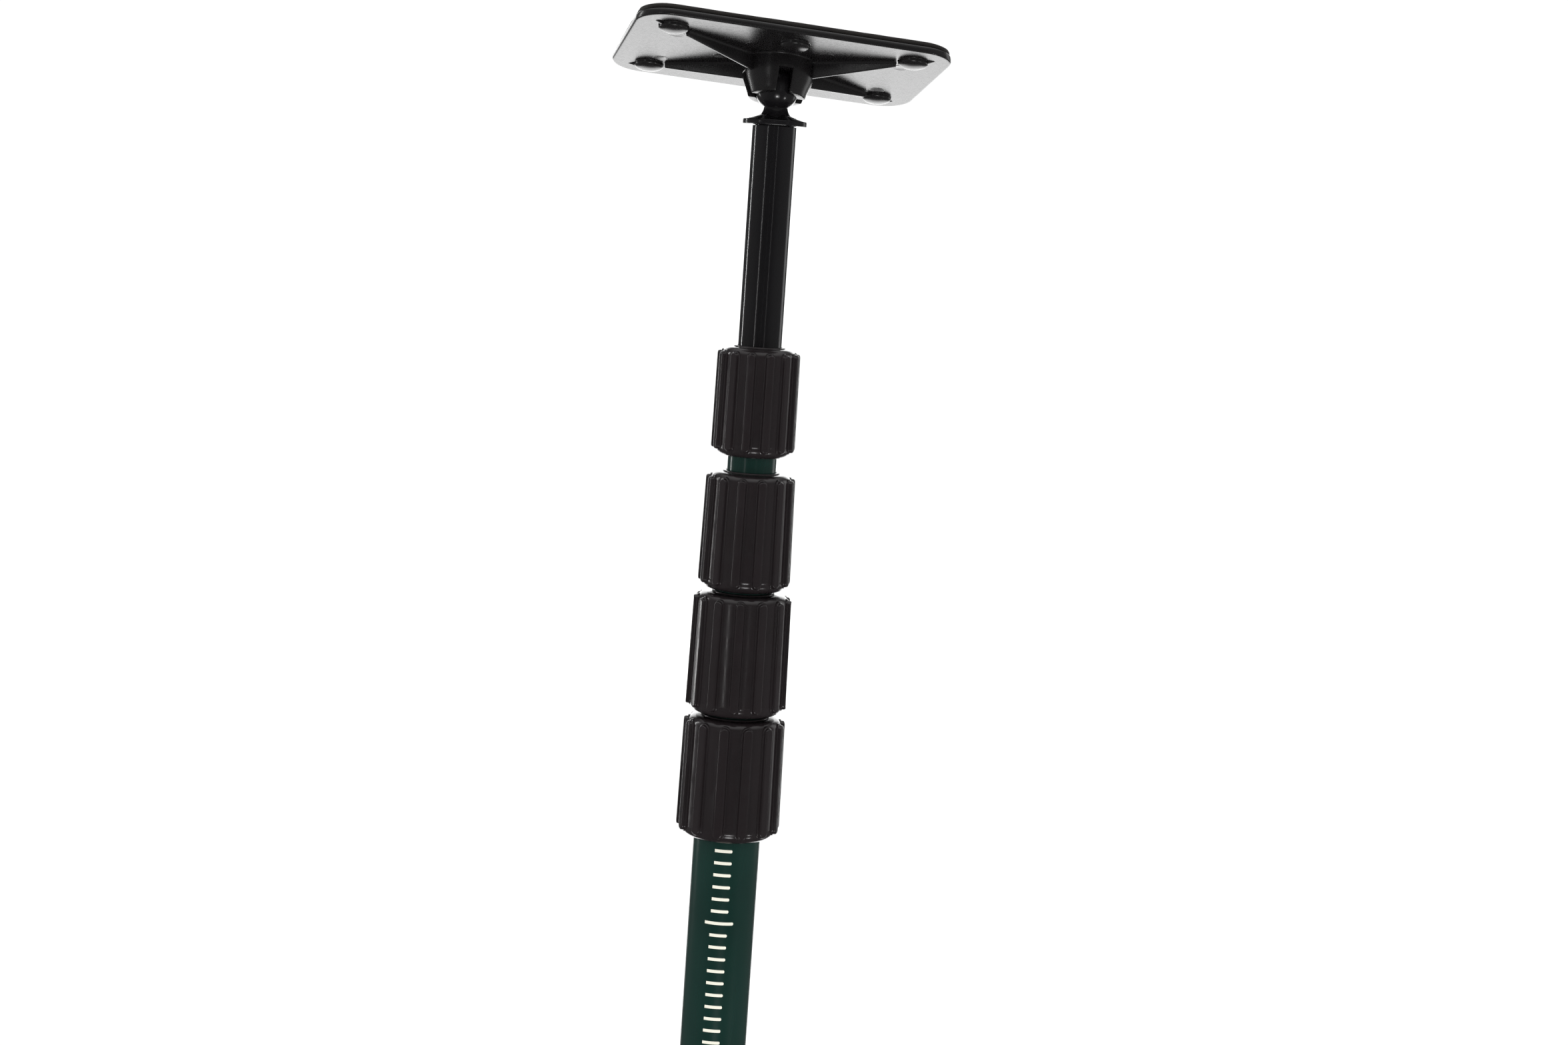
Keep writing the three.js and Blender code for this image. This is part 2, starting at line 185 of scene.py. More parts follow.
def fixPlace(piece, matrix=None):
    # puts a piece's place in its mesh, with its object at the origin
    if matrix is not None:
        piece.matrix_world = matrix @ piece.matrix_world
    pickOnly(piece)
    bpy.ops.object.transform_apply(location=True, rotation=True, scale=True)
    return piece


def copyOf(piece, matrix):
    twin = piece.copy()
    twin.data = piece.data.copy()
    bpy.context.collection.objects.link(twin)
    twin.matrix_world = matrix @ piece.matrix_world
    return twin


def applyModifier(piece, kind, **settings):
    pickOnly(piece)
    modifier = piece.modifiers.new(kind.title(), kind)
    for key, value in settings.items():
        setattr(modifier, key, value)
    bpy.ops.object.modifier_apply(modifier=modifier.name)
    return piece


def register(piece, body, slot, finish, *nodes):
    piece.data.materials.clear()
    piece.data.materials.append(finish)
    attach(piece, body)
    if nodes:
        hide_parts(*nodes)
    return piece


# small tools for materials

def hexColour(code):
    # sRGB hex to the linear colour that the shader wants
    channels = [int(code[i:i + 2], 16) / 255 for i in (0, 2, 4)]
    linear = [c / 12.92 if c <= 0.04045 else ((c + 0.055) / 1.055) ** 2.4 for c in channels]
    return (*linear, 1.0)


def setInputs(tree, node, inputs):
    for key, value in inputs.items():
        if isinstance(value, bpy.types.NodeSocket):
            tree.links.new(value, node.inputs[key])
        else:
            node.inputs[key].default_value = value


def addNode(tree, kind, settings=None, inputs=None):
    node = tree.nodes.new(kind)
    for key, value in (settings or {}).items():
        setattr(node, key, value)
    setInputs(tree, node, inputs or {})
    return node


def newMaterial(name):
    material = bpy.data.materials.new(name)
    material.use_nodes = True
    tree = material.node_tree
    shader = tree.nodes["Principled BSDF"]
    place = addNode(tree, "ShaderNodeTexCoord").outputs["Object"]
    return material, tree, shader, place


def blendColours(tree, factor, low, high):
    ramp = addNode(tree, "ShaderNodeMix", {"data_type": "RGBA"}, {0: factor})
    ramp.inputs[6].default_value = hexColour(low)
    ramp.inputs[7].default_value = hexColour(high)
    return ramp.outputs[2]


print("materials")

stoveEnamel = {"deep": "0a2621", "light": "10302a", "roughness": 0.17, "peelSize": 1.6, "peelHeight": 0.012,
               "cloud": 38.0, "smear": 120.0, "smoother": 0.03, "rougher": 0.06, "bump": 0.35, "ior": 1.52}


def makeEnamel():
    # stove enamel sprayed on steel tube: wet gloss, with the slight orange peel of a sprayed coat
    look = stoveEnamel
    material, tree, shader, place = newMaterial("stoveEnamelGreen")
    cloud = addNode(tree, "ShaderNodeTexNoise", None,
                    {"Vector": place, "Scale": look["cloud"], "Detail": 2.0})
    colour = blendColours(tree, cloud.outputs["Fac"], look["deep"], look["light"])
    peel = addNode(tree, "ShaderNodeTexNoise", None,
                   {"Vector": place, "Scale": 1 / (look["peelSize"] * mm), "Detail": 1.0})
    bump = addNode(tree, "ShaderNodeBump", None,
                   {"Strength": look["bump"], "Distance": look["peelHeight"] * mm,
                    "Height": peel.outputs["Fac"]})
    smear = addNode(tree, "ShaderNodeTexNoise", None,
                    {"Vector": place, "Scale": look["smear"], "Detail": 4.0})
    rough = addNode(tree, "ShaderNodeMapRange", None,
                    {"Value": smear.outputs["Fac"], "To Min": look["roughness"] - look["smoother"],
                     "To Max": look["roughness"] + look["rougher"]})
    setInputs(tree, shader, {"Base Color": colour, "Roughness": rough.outputs["Result"],
                             "Normal": bump.outputs["Normal"], "IOR": look["ior"]})
    return material


gripAbs = {"deep": "1b1718", "light": "231e20", "roughness": 0.17, "grain": 0.45, "grainHeight": 0.006,
           "cloud": 60.0, "wear": 210.0, "smoother": 0.05, "rougher": 0.08, "bump": 0.3, "ior": 1.53}


def makeGripPlastic():
    # injection moulded ABS with a spark-eroded texture: brownish black, satin, fine grain
    look = gripAbs
    material, tree, shader, place = newMaterial("mouldedAbsBlack")
    cloud = addNode(tree, "ShaderNodeTexNoise", None,
                    {"Vector": place, "Scale": look["cloud"], "Detail": 3.0})
    colour = blendColours(tree, cloud.outputs["Fac"], look["deep"], look["light"])
    grain = addNode(tree, "ShaderNodeTexNoise", None,
                    {"Vector": place, "Scale": 1 / (look["grain"] * mm), "Detail": 2.0})
    bump = addNode(tree, "ShaderNodeBump", None,
                   {"Strength": look["bump"], "Distance": look["grainHeight"] * mm,
                    "Height": grain.outputs["Fac"]})
    # handling: streaks of wear where a palm turns the grip
    wear = addNode(tree, "ShaderNodeTexNoise", None, {"Vector": place, "Scale": look["wear"], "Detail": 5.0})
    rough = addNode(tree, "ShaderNodeMapRange", None,
                    {"Value": wear.outputs["Fac"], "From Min": 0.3, "From Max": 0.7,
                     "To Min": look["roughness"] - look["smoother"],
                     "To Max": look["roughness"] + look["rougher"]})
    setInputs(tree, shader, {"Base Color": colour, "Roughness": rough.outputs["Result"],
                             "Normal": bump.outputs["Normal"], "IOR": look["ior"]})
    return material


glossLook = {"cloud": 45.0, "dust": 900.0, "rougher": 0.07, "bump": 0.5, "ior": 1.58}
plungerLacquer = {"deep": "0c0b0d", "light": "131214", "roughness": 0.09, "waveSize": 9.0, "waveHeight": 0.01}
headPolycarbonate = {"deep": "121112", "light": "1a1819", "roughness": 0.23, "waveSize": 16.0,
                     "waveHeight": 0.03}
studAcetal = {"deep": "0d0c0e", "light": "171618", "roughness": 0.16, "waveSize": 5.0, "waveHeight": 0.01}


def makeGloss(name, look):
    # lacquer or a polished moulding: near black, glossy, with soft waves in its surface
    material, tree, shader, place = newMaterial(name)
    cloud = addNode(tree, "ShaderNodeTexNoise", None,
                    {"Vector": place, "Scale": glossLook["cloud"], "Detail": 2.0})
    colour = blendColours(tree, cloud.outputs["Fac"], look["deep"], look["light"])
    wave = addNode(tree, "ShaderNodeTexNoise", None,
                   {"Vector": place, "Scale": 1 / (look["waveSize"] * mm), "Detail": 1.0})
    waveBump = addNode(tree, "ShaderNodeBump", None,
                       {"Strength": glossLook["bump"], "Distance": look["waveHeight"] * mm,
                        "Height": wave.outputs["Fac"]})
    dust = addNode(tree, "ShaderNodeTexNoise", None,
                   {"Vector": place, "Scale": glossLook["dust"], "Detail": 3.0})
    rough = addNode(tree, "ShaderNodeMapRange", None,
                    {"Value": dust.outputs["Fac"], "From Min": 0.35, "From Max": 0.75,
                     "To Min": look["roughness"], "To Max": look["roughness"] + glossLook["rougher"]})
    setInputs(tree, shader, {"Base Color": colour, "Roughness": rough.outputs["Result"],
                             "Normal": waveBump.outputs["Normal"], "IOR": glossLook["ior"]})
    return material


rubberLook = {"cloud": 90.0, "bump": 0.6, "ior": 1.5}
padFoam = {"deep": "171412", "light": "25201d", "cell": 0.5, "height": 0.05, "roughness": 0.62}
footMoulding = {"deep": "161515", "light": "222020", "cell": 0.35, "height": 0.03, "roughness": 0.7}


def makeRubber(name, look):
    # foam or moulded rubber: matt, with its skin's cells or grit
    material, tree, shader, place = newMaterial(name)
    cells = addNode(tree, "ShaderNodeTexVoronoi", {"feature": "SMOOTH_F1"},
                    {"Vector": place, "Scale": 1 / (look["cell"] * mm)})
    cloud = addNode(tree, "ShaderNodeTexNoise", None,
                    {"Vector": place, "Scale": rubberLook["cloud"], "Detail": 4.0})
    colour = blendColours(tree, cloud.outputs["Fac"], look["deep"], look["light"])
    bump = addNode(tree, "ShaderNodeBump", None,
                   {"Strength": rubberLook["bump"], "Distance": look["height"] * mm,
                    "Height": cells.outputs["Distance"]})
    setInputs(tree, shader, {"Base Color": colour, "Roughness": look["roughness"],
                             "Normal": bump.outputs["Normal"], "IOR": rubberLook["ior"]})
    return material


creamInk = {"deep": "dcdac9", "light": "f1efe2", "grain": 2600.0, "grainHeight": 0.03, "bump": 0.4,
            "roughness": 0.55}


def makeScaleInk():
    # screen-printed cream ink: matt and thick enough to stand proud of the enamel
    look = creamInk
    material, tree, shader, place = newMaterial("screenInkCream")
    grain = addNode(tree, "ShaderNodeTexNoise", None,
                    {"Vector": place, "Scale": look["grain"], "Detail": 3.0})
    colour = blendColours(tree, grain.outputs["Fac"], look["deep"], look["light"])
    bump = addNode(tree, "ShaderNodeBump", None,
                   {"Strength": look["bump"], "Distance": look["grainHeight"] * mm,
                    "Height": grain.outputs["Fac"]})
    setInputs(tree, shader, {"Base Color": colour, "Roughness": look["roughness"],
                             "Normal": bump.outputs["Normal"]})
    return material


springWire = {"deep": "8d9093", "light": "b4b6b8", "lines": 1500.0, "smoothest": 0.25, "roughest": 0.45}


def makeSpringSteel():
    # drawn spring wire: bright, with fine die lines
    look = springWire
    material, tree, shader, place = newMaterial("drawnSpringWire")
    lines = addNode(tree, "ShaderNodeTexNoise", None,
                    {"Vector": place, "Scale": look["lines"], "Detail": 2.0})
    colour = blendColours(tree, lines.outputs["Fac"], look["deep"], look["light"])
    rough = addNode(tree, "ShaderNodeMapRange", None,
                    {"Value": lines.outputs["Fac"], "To Min": look["smoothest"], "To Max": look["roughest"]})
    setInputs(tree, shader, {"Base Color": colour, "Roughness": rough.outputs["Result"], "Metallic": 1.0})
    return material


innerAcetal = {"deep": "66686a", "light": "77797b", "flow": 140.0, "flowHeight": 0.02, "bump": 0.3,
               "roughness": 0.42}


def makeInnerPlastic():
    # acetal for sliding parts: grey and waxy
    look = innerAcetal
    material, tree, shader, place = newMaterial("mouldedAcetalGrey")
    flow = addNode(tree, "ShaderNodeTexNoise", None, {"Vector": place, "Scale": look["flow"], "Detail": 4.0})
    colour = blendColours(tree, flow.outputs["Fac"], look["deep"], look["light"])
    bump = addNode(tree, "ShaderNodeBump", None,
                   {"Strength": look["bump"], "Distance": look["flowHeight"] * mm,
                    "Height": flow.outputs["Fac"]})
    setInputs(tree, shader, {"Base Color": colour, "Roughness": look["roughness"],
                             "Normal": bump.outputs["Normal"]})
    return material


enamel = makeEnamel()
gripPlastic = makeGripPlastic()
plungerCoat = makeGloss("glossLacquerBlack", plungerLacquer)
headPlastic = makeGloss("mouldedPolycarbonateBlack", headPolycarbonate)
studPlastic = makeGloss("mouldedAcetalBlack", studAcetal)
padRubber = makeRubber("cellularRubberSheet", padFoam)
footRubber = makeRubber("mouldedRubberFoot", footMoulding)
scaleInk = makeScaleInk()
springSteel = makeSpringSteel()
innerPlastic = makeInnerPlastic()

for piece in frame["nodes"].values():
    for place in piece.material_slots:
        place.material = innerPlastic


print("camera")

cameraPlace = {"distance": 935.9, "height": 1084.0, "yaw": 0.866, "down": 7.158, "roll": 3.953, "lens": 55.1,
               "nearest": 0.05, "farthest": 200}


def makeCamera():
    spec = cameraPlace
    data = bpy.data.cameras.new("camera")
    data.lens = spec["lens"]
    data.clip_start = spec["nearest"]
    data.clip_end = spec["farthest"]
    camera = bpy.data.objects.new("camera", data)
    bpy.context.collection.objects.link(camera)
    camera.matrix_world = (
        Matrix.Translation((0, -spec["distance"] * mm, spec["height"] * mm))
        @ Matrix.Rotation(math.radians(-spec["yaw"]), 4, "Z")
        @ Matrix.Rotation(math.radians(90 - spec["down"]), 4, "X")
        @ Matrix.Rotation(math.radians(spec["roll"]), 4, "Z")
    )
    bpy.context.scene.camera = camera


makeCamera()


print("tubes")

tubeLook = {"wall": 0.8, "edge": 0.15, "steps": 128}


def tubeRadius(node):
    low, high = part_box(node)
    return (high[1] - low[1]) / 2 / mm


def makeTube(name, node, body, slot, finish):
    low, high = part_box(node)
    outer = tubeRadius(node)
    inner = outer - tubeLook["wall"]
    edge = tubeLook["edge"]
    bottom, top = low[2] / mm, high[2] / mm
    outline = [(inner, bottom + edge), (inner + edge, bottom), (outer - edge, bottom), (outer, bottom + edge),
               (outer, top - edge), (outer - edge, top), (inner + edge, top), (inner, top - edge),
               (inner, bottom + edge)]
    tube = smooth(spinOutline(name, outline, tubeLook["steps"]))
    return register(tube, body, slot, finish, node)


for stage in (1, 2, 3, 4):
    makeTube(f"enamelTube{stage}", f"tube_{stage}", "pole" if stage == 1 else f"stage_{stage}",
             "tube_paint", enamel)
makeTube("plungerShaft", "plunger_tube", "plunger", "plunger_coat", plungerCoat)


print("printed scale")

scaleLook = {"pitch": 4.9, "thickness": 1.22, "proud": 0.03, "shortLeft": -18.6, "shortRight": 11.2,
             "longLeft": -28.2, "longRight": 20.8, "top": 836.1, "bottom": 60.0, "firstLong": 6,
             "longEvery": 20, "rounding": 0.45, "sink": 0.05, "degreesPerStep": 4}


def isMarkCorner(edge, end):
    first, second = (v.co for v in edge.verts)
    middle = edgeCentre(edge)
    angle = math.degrees(math.atan2(middle.x, -middle.y))
    return abs(angle - end) < 0.5 and abs(first.z - second.z) < hair


def makeMark(left, right):
    # a thin block of ink spun round the tube's front, with its right end rounded
    look = scaleLook
    radius = tubeRadius("tube_1")
    half = look["thickness"] / 2
    sink = look["sink"]
    outline = [(radius - sink, -half), (radius + look["proud"], -half), (radius + look["proud"], half),
               (radius - sink, half), (radius - sink, -half)]
    steps = round((right - left) / look["degreesPerStep"])
    fillOutline(outline)
    bpy.ops.transform.rotate(value=-math.radians(right - 90), orient_axis="Z", center_override=(0, 0, 0))
    bpy.ops.mesh.spin(steps=steps, angle=math.radians(right - left), center=(0, 0, 0), axis=(0, 0, 1))
    weldAll()
    faceOutward()
    pickParts("EDGE", lambda e: isMarkCorner(e, right))  # ink runs round at the squeegee's far end
    bpy.ops.mesh.bevel(offset=look["rounding"] * mm, segments=3, affect="EDGES")
    mark = leaveEdit("mark")
    return smooth(mark)


def makeScale():
    look = scaleLook
    short = makeMark(look["shortLeft"], look["shortRight"])
    long = makeMark(look["longLeft"], look["longRight"])
    marks = []
    count = int((look["top"] - look["bottom"]) / look["pitch"])
    for i in range(count):
        pattern = long if i % look["longEvery"] == look["firstLong"] else short
        height = (look["top"] - i * look["pitch"]) * mm
        marks.append(copyOf(pattern, Matrix.Translation((0, 0, height))))
    scale = joinAll("printedScale", marks)
    for pattern in (short, long):
        bpy.data.objects.remove(pattern)
    fixPlace(scale)
    return register(scale, "pole", "scale_print", scaleInk)


makeScale()


print("grips")

gripLook = {"shoulder": 3.6, "collarWidth": 1.2, "collarHeight": 0.6, "ribs": 13, "ribHeight": 1.6,
            "ribWidth": {1: 4.0, 2: 3.7, 3: 3.5, 4: 3.4}, "ribLow": 2.4, "ribHigh": 2.4,
            "partingLine": 4.6, "gap": 0.3, "turns": {1: -10.7, 2: -1.9, 3: -11.1, 4: -10.5},
            "radiusLow": {1: 20.6, 2: 20.1, 3: 18.2, 4: 16.45},
            "radiusHigh": {1: 20.15, 2: 19.5, 3: 17.55, 4: 16.2},
            "boreChamfer": 0.3, "mouthChamfer": 0.4, "mouthDepth": 3, "seamHalf": 0.14, "seamProud": 0.09,
            "collarFillet": 0.35, "collarRound": 0.3}
# each ring of a rib: out from the grip's wall, wider than its half width
ribRings = [(-0.8, 0.6), (-0.04, 0.55), (0.03, 0.34), (0.14, 0.17), (0.32, 0.05), (0.6, 0.0), (1.0, -0.06),
            (1.24, -0.14), (1.42, -0.26), (1.54, -0.43), (1.59, -0.62), (1.6, -0.8)]


def makeGripBody(stage, bottom, top, innerRadius):
    look = gripLook
    lowRadius = look["radiusLow"][stage] - look["ribHeight"]
    highRadius = look["radiusHigh"][stage] - look["ribHeight"]
    shoulder = look["shoulder"]
    brow = top - look["collarHeight"]
    bore = tubeRadius(f"tube_{stage}") + look["gap"]
    mouth = innerRadius + look["gap"]
    line = bottom + look["partingLine"]
    collar = mouth + look["collarWidth"]
    start = (bore, bottom + 2)
    cut = look["boreChamfer"]
    seam = look["seamHalf"]
    fillet = look["collarFillet"]
    edge = look["collarRound"]
    mouthCut = look["mouthChamfer"]
    step = top - look["mouthDepth"]
    outline = [start, (bore, bottom + cut), (bore + cut, bottom)]
    outline += arc(lowRadius - shoulder, bottom + shoulder, shoulder, -90, 0, 8)
    outline += [(lowRadius, line - seam), (lowRadius + look["seamProud"], line), (lowRadius, line + seam)]
    outline += arc(highRadius - shoulder, brow - shoulder, shoulder, 0, 90, 8)
    outline += arc(collar + fillet, brow + fillet, fillet, -90, -180, 3)
    outline += arc(collar - edge, top - edge, edge, 0, 90, 3)
    outline += [(mouth + mouthCut, top), (mouth, top - mouthCut), (mouth, step), (bore, step), start]
    return spinOutline("gripBody", outline, 112)


def makeRib(stage, bottom, top):
    # a round button drawn ring by ring, then stretched along the grip into a long rounded bar
    look = gripLook
    low = bottom + look["ribLow"]
    high = top - look["ribHigh"]
    lowRadius = look["radiusLow"][stage]
    highRadius = look["radiusHigh"][stage]
    half = look["ribWidth"][stage] / 2
    seat = lowRadius - look["ribHeight"]
    middle = (seat * mm, 0, (low + half) * mm)
    rings = [(out, half + wider) for out, wider in ribRings]
    drawRings(rings, middle, (1, 0, 0), 24, (0, math.pi / 2, 0))
    pickParts("VERT", lambda v: v.co.z > middle[2] + hair)
    stretch = (high - low - 2 * half) * mm
    bpy.ops.transform.translate(value=((highRadius - lowRadius) * mm, 0, stretch))
    faceOutward()
    return leaveEdit("rib")


def makeGrip(stage):
    node = f"lock_grip_{stage}"
    low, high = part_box(node)
    bottom, top = low[2] / mm, high[2] / mm
    innerRadius = tubeRadius(f"tube_{stage + 1}") if stage < 4 else tubeRadius("plunger_tube")
    rib = makeRib(stage, bottom, top)
    parts = [makeGripBody(stage, bottom, top, innerRadius)]
    for i in range(gripLook["ribs"]):
        angle = gripLook["turns"][stage] - 90 + i * 360 / gripLook["ribs"]
        parts.append(copyOf(rib, Matrix.Rotation(math.radians(angle), 4, "Z")))
    grip = joinAll(f"ribbedGrip{stage}", parts)
    bpy.data.objects.remove(rib)
    fixPlace(grip)
    smooth(grip, 40)
    return register(grip, f"grip_{stage}", "grip_plastic", gripPlastic, node)


for stage in (1, 2, 3, 4):
    makeGrip(stage)


print("ball stud")

# skirt and neck: out from the radius, up from the flange; rim: up from its edge, back from its depth
studLook = {"ball": 8.6, "neck": 4.65, "skirt": 5.9, "flangeHalf": 12.5, "flangeDepth": 9.2, "edge": 2.0,
            "below": 14.0, "slope": 1.9, "spigot": 7.55, "spigotLength": 15.5, "spigotChamfer": 0.6,
            "topFlat": 0.3, "topDrop": 0.09,
            "skirtProfile": [(0.9, 3.0), (0.15, 3.75), (-0.05, 4.0), (-0.35, 4.35)],
            "neckProfile": [(0.62, 4.85), (0.32, 5.45), (0.12, 6.1)],
            "rimProfile": [(0, 0.3), (0.08, 0.1), (0.3, 0)], "slopeSteps": 3, "slopeShrink": (0.8, 0.85, 1)}
ballCentre = Vector(next(j for j in frame["joints"] if j["name"] == "head_tilt")["pos_m"])


def makeStudBody():
    look = studLook
    flange = -look["below"]
    angle = math.degrees(math.asin(look["neck"] / look["ball"]))
    spigot = look["spigot"]
    end = flange - look["spigotLength"]
    cut = look["spigotChamfer"]
    top = look["ball"] - look["topDrop"]
    outline = [(0, end), (spigot - cut, end), (spigot, end + cut), (spigot, flange + 0.5)]
    outline += [(look["skirt"] + out, flange + up) for out, up in look["skirtProfile"]]
    outline += [(look["neck"] + out, flange + up) for out, up in look["neckProfile"]]
    outline += arc(0, 0, look["ball"], angle - 90, 82, 26)
    outline += [(look["topFlat"], top), (0, top)]
    return spinOutline("studBody", outline, 72)


def makeFlange():
    # a round disc drawn ring by ring, its two halves pulled apart sideways into an oblong
    look = studLook
    depth = look["flangeDepth"]
    low = -look["below"]
    rings = [(low + up, depth - back) for up, back in look["rimProfile"]]
    rings += [(low + look["edge"] - up, depth - back) for up, back in reversed(look["rimProfile"])]
    drawRings(rings, (0, 0, 0), (0, 0, 1), 72)
    for side in (-1, 1):
        pickParts("VERT", lambda v: v.co.x * side > hair)
        bpy.ops.transform.translate(value=(side * (look["flangeHalf"] - depth) * mm, 0, 0))
    pickParts("VERT", lambda v: v.co.z > (low + look["edge"] - 0.02) * mm)
    for i in range(look["slopeSteps"]):  # its top slopes up to the skirt
        pullOut(0, 0, look["slope"] / look["slopeSteps"])
        bpy.ops.transform.resize(value=look["slopeShrink"], center_override=(0, 0, 0))
    faceOutward()
    return leaveEdit("flange")


def makeStud():
    parts = [makeStudBody(), makeFlange()]
    stud = joinAll("ballStud", parts)
    fixPlace(stud, Matrix.Translation(ballCentre))
    smooth(stud, 35)
    return register(stud, "swivel", "stud_plastic", studPlastic, "ball_stud")


makeStud()


print("head plate")

# hub: back from its radius, height; web foot: out from the web's side, up from the plate's underside
headLook = {"swivel": 12.8, "tilt": -13.1, "roll": 3.6, "length": 121.5, "width": 76.0, "corner": 13.0,
            "under": 10.4, "thickness": 2.6, "rimRound": 0.7, "bossX": 46.3, "bossY": 25.1, "bossRadius": 5.7,
            "bossHeight": 2.7, "dome": 2.0, "webThickness": 1.9, "webDeep": 7.0, "webShallow": 2.0,
            "hub": 13.8, "hubRim": 11.0, "rimBelow": 3.7, "socket": 8.95, "slot": 5.5, "slotTop": 5.0,
            "sunk": 0.6, "bossFillet": 0.3, "webGap": 1.0, "webTaper": 0.72, "webRound": 0.45,
            "gussetReach": 3.4, "gussetTip": 3.6, "gussetDrop": 1.1, "gussetThickness": 1.2,
            "hubRound": 0.3, "hubFillet": 0.7, "filletDrop": 0.68, "fingerEdge": 0.35,
            "hubProfile": [(2.35, -2.0), (1.6, 0.0), (0.85, 1.7), (0.35, 3.3), (0.08, 4.8), (0, 6.2)],
            "webFootProfile": [(1.1, 0.3), (1.1, 0), (0.55, -0.1), (0.2, -0.35), (-0.1, -1.0)],
            "ejectorRadius": 3.2}
ejectorPlaces = ((-43.5, 16.5), (44, -15.5), (44, 16.4), (-43.5, -16), (-14.5, -16.5), (14.5, -16.5),
                 (-22.5, 2), (22.5, 2))
headPose = (
    Matrix.Translation(ballCentre)
    @ Matrix.Rotation(math.radians(headLook["swivel"]), 4, "Z")
    @ Matrix.Rotation(math.radians(headLook["tilt"]), 4, "X")
    @ Matrix.Rotation(math.radians(headLook["roll"]), 4, "Y")
)


def roundedSheet(name, length, width, corner, low, high, rim):
    # a plane with its corners bevelled round, pulled up, and its two rims rounded
    clearSelection()
    bpy.ops.mesh.primitive_plane_add(size=1, location=(0, 0, low * mm))
    bpy.context.object.scale = (length * mm, width * mm, 1)
    bpy.ops.object.transform_apply(location=True, rotation=True, scale=True)
    enterEdit()
    bpy.ops.mesh.bevel(offset=corner * mm, segments=14, affect="VERTICES")
    bpy.ops.mesh.select_all(action="SELECT")
    pullOut(0, 0, high - low)
    faceOutward()
    pickParts("EDGE", lambda e: abs(e.verts[0].co.z - e.verts[1].co.z) < hair)
    bpy.ops.mesh.bevel(offset=rim * mm, segments=3, affect="EDGES")
    pickParts("FACE", lambda f: abs(f.normal.z) > 0.99 and len(f.verts) > 8)
    bpy.ops.mesh.inset(thickness=0.4 * mm, depth=0)
    return leaveEdit(name)


def makeBoss(x, y):
    look = headLook
    under = look["under"]
    end = under - look["bossHeight"]
    radius = look["bossRadius"]
    fillet = look["bossFillet"]
    root = under + look["sunk"]
    outline = [(0, root), (radius + fillet, root), (radius + fillet, under + 0.02)]
    outline += arc(radius + fillet, under - fillet, fillet, 90, 170, 4)
    outline += [(radius * math.cos(math.radians(t)), end + look["dome"] * (1 - math.sin(math.radians(t))))
                for t in range(0, 91, 9)]
    boss = spinOutline("boss", outline, 56)
    boss.location = (x * mm, y * mm, 0)
    return boss


def makeWeb(angle):
    # a tapering web from the socket out to a corner boss, thinner at its lower edge
    look = headLook
    under = look["under"]
    start = look["hubRim"] - 1.6
    reach = math.hypot(look["bossX"], look["bossY"]) - look["bossRadius"] - look["webGap"]
    clearSelection()
    bpy.ops.mesh.primitive_cube_add(size=1, location=((start + reach) / 2 * mm, 0, under * mm))
    bpy.context.object.scale = ((reach - start) * mm, look["webThickness"] * mm, 2 * look["sunk"] * mm)
    bpy.ops.object.transform_apply(location=True, rotation=True, scale=True)
    enterEdit()
    pickParts("VERT", lambda v: v.co.z < under * mm and v.co.x < (start + 1) * mm)
    bpy.ops.transform.translate(value=(0, 0, (look["sunk"] - look["webDeep"]) * mm))
    pickParts("VERT", lambda v: v.co.z < under * mm and v.co.x > (reach - 1) * mm)
    bpy.ops.transform.translate(value=(0, 0, (look["sunk"] - look["webShallow"]) * mm))
    pickParts("VERT", lambda v: v.co.z < (under - 1) * mm)
    bpy.ops.transform.resize(value=(1, look["webTaper"], 1), center_override=(0, 0, 0))
    pickParts("EDGE", lambda e: edgeCentre(e).z < (under - 1) * mm)
    bpy.ops.mesh.bevel(offset=look["webRound"] * mm, segments=3, affect="EDGES")
    faceOutward()
    web = leaveEdit("web")
    web.rotation_euler.z = angle
    return web


def makeWebFoot(angle):
    # the fillet where a web meets the plate: a low, wide wedge on both sides
    look = headLook
    under = look["under"]
    start = look["hubRim"]
    reach = math.hypot(look["bossX"], look["bossY"]) - look["bossRadius"] - look["webGap"]
    half = look["webThickness"] / 2
    profile = [(half + out, under + up) for out, up in look["webFootProfile"]]
    mirrored = [(-side, height) for side, height in reversed(profile)]
    fillOutline([*profile, *mirrored, profile[0]])
    pullOut(0, reach - start, 0)
    faceOutward()
    bpy.ops.transform.translate(value=(0, start * mm, 0))
    foot = leaveEdit("webFoot")
    foot.rotation_euler.z = angle - math.pi / 2
    return foot


def makeGusset(angle):
    look = headLook
    under = look["under"]
    start = math.hypot(look["bossX"], look["bossY"]) + look["bossRadius"] - 0.6
    fillOutline([(start, under + 0.5), (start, under - look["gussetDrop"]),
                 (start + look["gussetReach"], under - 0.05),
                 (start + look["gussetTip"], under + 0.5), (start, under + 0.5)])
    bpy.ops.transform.translate(value=(0, -look["gussetThickness"] / 2 * mm, 0))
    pullOut(0, look["gussetThickness"], 0)
    faceOutward()
    pickParts("EDGE", lambda e: edgeCentre(e).z < under * mm)
    bpy.ops.mesh.bevel(offset=0.25 * mm, segments=2, affect="EDGES")
    gusset = leaveEdit("gusset")
    gusset.rotation_euler.z = angle
    return gusset


